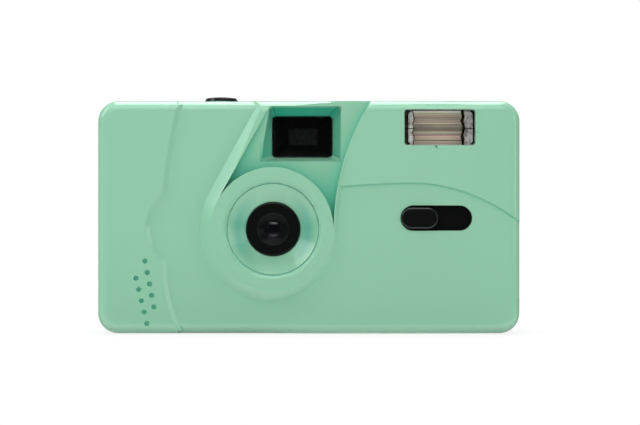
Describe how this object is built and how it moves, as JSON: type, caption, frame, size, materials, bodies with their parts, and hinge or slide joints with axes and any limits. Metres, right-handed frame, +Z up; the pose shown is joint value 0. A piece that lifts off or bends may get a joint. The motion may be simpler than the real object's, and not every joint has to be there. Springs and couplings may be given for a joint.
{
  "type": "film camera",
  "caption": "Compact reusable 35 mm film camera with a fixed lens in a teardrop boss, a direct finder, a built-in flash, a thumbwheel advance and a hinged film door.",
  "frame": {"origin": "centre of the base of the camera's bounding box", "axes": "+X to the right as the lens side is seen, +Y from the lens side to the film door, +Z up"},
  "size_m": [0.114, 0.035, 0.0645],
  "materials": {
    "mint_plastic": "glossy moulded, pale mint green",
    "black_plastic": "semi-gloss moulded black",
    "dark_plastic": "matt moulded black",
    "clear_plastic": "clear moulded",
    "lens_plastic": "polished, coated blue",
    "steel": "plain sheet and wire",
    "bright_foil": "bright foil",
    "circuit_board": "brown laminate",
    "battery_wrap": "wrapped can",
    "capacitor_wrap": "sleeved can",
    "lamp_plastic": "tinted lamp",
    "white_plastic": "white moulded",
    "copper_winding": "wound wire"
  },
  "bodies": {
    "camera": {"front_cover": "mint_plastic", "rear_cover": "mint_plastic", "door_hinge_pin": "steel", "chassis": "dark_plastic", "case_screws": "steel", "chassis_screws": "steel", "counter_window": "clear_plastic", "wheel_pawl": "steel", "button_guide": "dark_plastic", "lever_bracket": "steel", "cocking_pin": "steel", "shutter_plate": "steel", "lens_hood": "black_plastic", "taking_lens": "lens_plastic", "lens_retainer": "dark_plastic", "finder_window": "clear_plastic", "finder_tunnel": "dark_plastic", "finder_eyepiece": "clear_plastic", "flash_window": "clear_plastic", "flash_reflector": "bright_foil", "flash_tube": "clear_plastic", "tube_holders": "black_plastic", "flash_board": "circuit_board", "board_parts": "black_plastic", "flash_capacitor": "capacitor_wrap", "flash_transformer": "copper_winding", "trigger_coil": "copper_winding", "ready_lamp": "lamp_plastic", "battery": "battery_wrap", "battery_contact": "steel", "button_spring": "steel", "latch_spring": "steel", "rewind_cup": "dark_plastic"},
    "door": {"film_door": "mint_plastic", "pressure_plate": "steel", "pressure_spring": "steel"},
    "latch": {"door_latch": "black_plastic"},
    "battery_lid": {"battery_door": "mint_plastic", "battery_spring": "steel", "spring_contact": "steel"},
    "button": {"shutter_button": "black_plastic"},
    "release": {"release_lever": "dark_plastic"},
    "cocking": {"cocking_lever": "dark_plastic"},
    "blade": {"shutter_blade": "steel"},
    "winder": {"advance_wheel": "black_plastic", "takeup_spool": "dark_plastic"},
    "film_sprocket": {"sprocket": "dark_plastic"},
    "dial": {"counter_dial": "white_plastic"},
    "rewinder": {"rewind_knob": "black_plastic", "crank_pin": "steel", "rewind_fork": "dark_plastic"},
    "crank": {"rewind_crank": "black_plastic"},
    "rewind_button": {"rewind_release": "black_plastic"},
    "switch": {"flash_switch": "black_plastic"}
  },
  "joints": [
    {"name": "door_hinge", "type": "hinge", "parent": "camera", "child": "door", "pos_m": [-0.0558, 0.00975, 0.025], "axis": [0, 0, 1], "range_deg": [0, 100]},
    {"name": "latch_slide", "type": "slide", "parent": "camera", "child": "latch", "axis": [0, 0, -1], "range_m": [0, 0.0036], "stiffness_N_per_m": 150, "deforming": ["latch_spring"]},
    {"name": "battery_hinge", "type": "hinge", "parent": "camera", "child": "battery_lid", "pos_m": [0.0533, 0.0006, 0.00075], "axis": [0, -1, 0], "range_deg": [0, 100]},
    {"name": "shutter_press", "type": "slide", "parent": "camera", "child": "button", "axis": [0, 0, -1], "range_m": [0, 0.0012], "stiffness_N_per_m": 300, "deforming": ["button_spring"]},
    {"name": "release_tip", "type": "hinge", "parent": "camera", "child": "release", "pos_m": [-0.018, -0.0064, 0.0532], "axis": [0, -1, 0], "range_deg": [0, 12]},
    {"name": "cocking_turn", "type": "hinge", "parent": "camera", "child": "cocking", "pos_m": [-0.018, 0.0012, 0.0516], "axis": [0, 0, 1], "range_deg": [0, 25], "stiffness_Nm_per_rad": 0.002},
    {"name": "blade_swing", "type": "hinge", "parent": "camera", "child": "blade", "pos_m": [-0.018, -0.0072, 0.036], "axis": [0, 1, 0], "range_deg": [0, 30], "stiffness_Nm_per_rad": 0.001},
    {"name": "wind", "type": "hinge", "parent": "camera", "child": "winder", "pos_m": [-0.0417, 0.0042, 0.03], "axis": [0, 0, 1], "continuous": true},
    {"name": "sprocket_turn", "type": "hinge", "parent": "camera", "child": "film_sprocket", "pos_m": [-0.0255, 0.007, 0.05], "axis": [0, 0, 1], "continuous": true},
    {"name": "dial_turn", "type": "hinge", "parent": "camera", "child": "dial", "pos_m": [-0.016, 0.007, 0.0576], "axis": [0, 0, 1], "continuous": true},
    {"name": "rewind_turn", "type": "hinge", "parent": "camera", "child": "rewinder", "pos_m": [0.0256, 0.0015, 0.003], "axis": [0, 0, 1], "continuous": true},
    {"name": "crank_fold", "type": "hinge", "parent": "rewinder", "child": "crank", "pos_m": [0.0204, 0.0015, 0.0011], "axis": [0, 1, 0], "range_deg": [0, 110]},
    {"name": "rewind_press", "type": "slide", "parent": "camera", "child": "rewind_button", "axis": [0, 0, 1], "range_m": [0, 0.001], "stiffness_N_per_m": 200},
    {"name": "flash_slide", "type": "slide", "parent": "camera", "child": "switch", "axis": [1, 0, 0], "range_m": [0, 0.0088]}
  ],
  "couplings": [
    {"joint": "release_tip", "follows": "shutter_press", "rad_per_m": 161.3},
    {"joint": "dial_turn", "follows": "sprocket_turn", "ratio": -0.027778}
  ]
}
